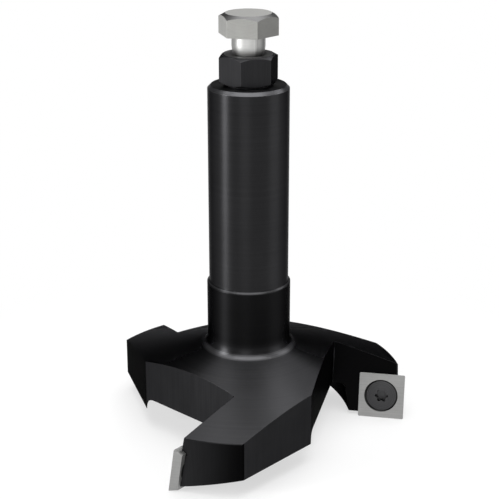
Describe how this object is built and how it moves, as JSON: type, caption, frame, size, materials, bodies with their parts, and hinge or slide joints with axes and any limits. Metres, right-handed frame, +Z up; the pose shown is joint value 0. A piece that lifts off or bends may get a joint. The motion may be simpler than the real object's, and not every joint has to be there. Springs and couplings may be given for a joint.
{
  "type": "indexable end mill",
  "caption": "Indexable end mill: straight shank, wide dished head with arms that carry square screwed-on inserts, and an adjusting screw with lock nut in the shank's end.",
  "frame": {"origin": "on the shank's axis at its shoulder, where the shank meets the slightly wider collar", "axes": "+Z up the shank, away from the head and towards the adjusting screw; the picture looks along +Y"},
  "size_m": [0.0937, 0.0931, 0.1351],
  "materials": {
    "body": "satin black oxide over turned and milled steel",
    "insert": "ground carbide, matte",
    "insert_screw": "blackened steel",
    "nut": "blackened steel",
    "screw": "bright zinc, satin"
  },
  "bodies": {
    "root": {"cutter_body": "body", "lock_nut": "nut", "adjusting_screw": "screw", "insert_1": "insert", "insert_screw_1": "insert_screw", "insert_2": "insert", "insert_screw_2": "insert_screw", "insert_3": "insert", "insert_screw_3": "insert_screw"}
  },
  "joints": []
}
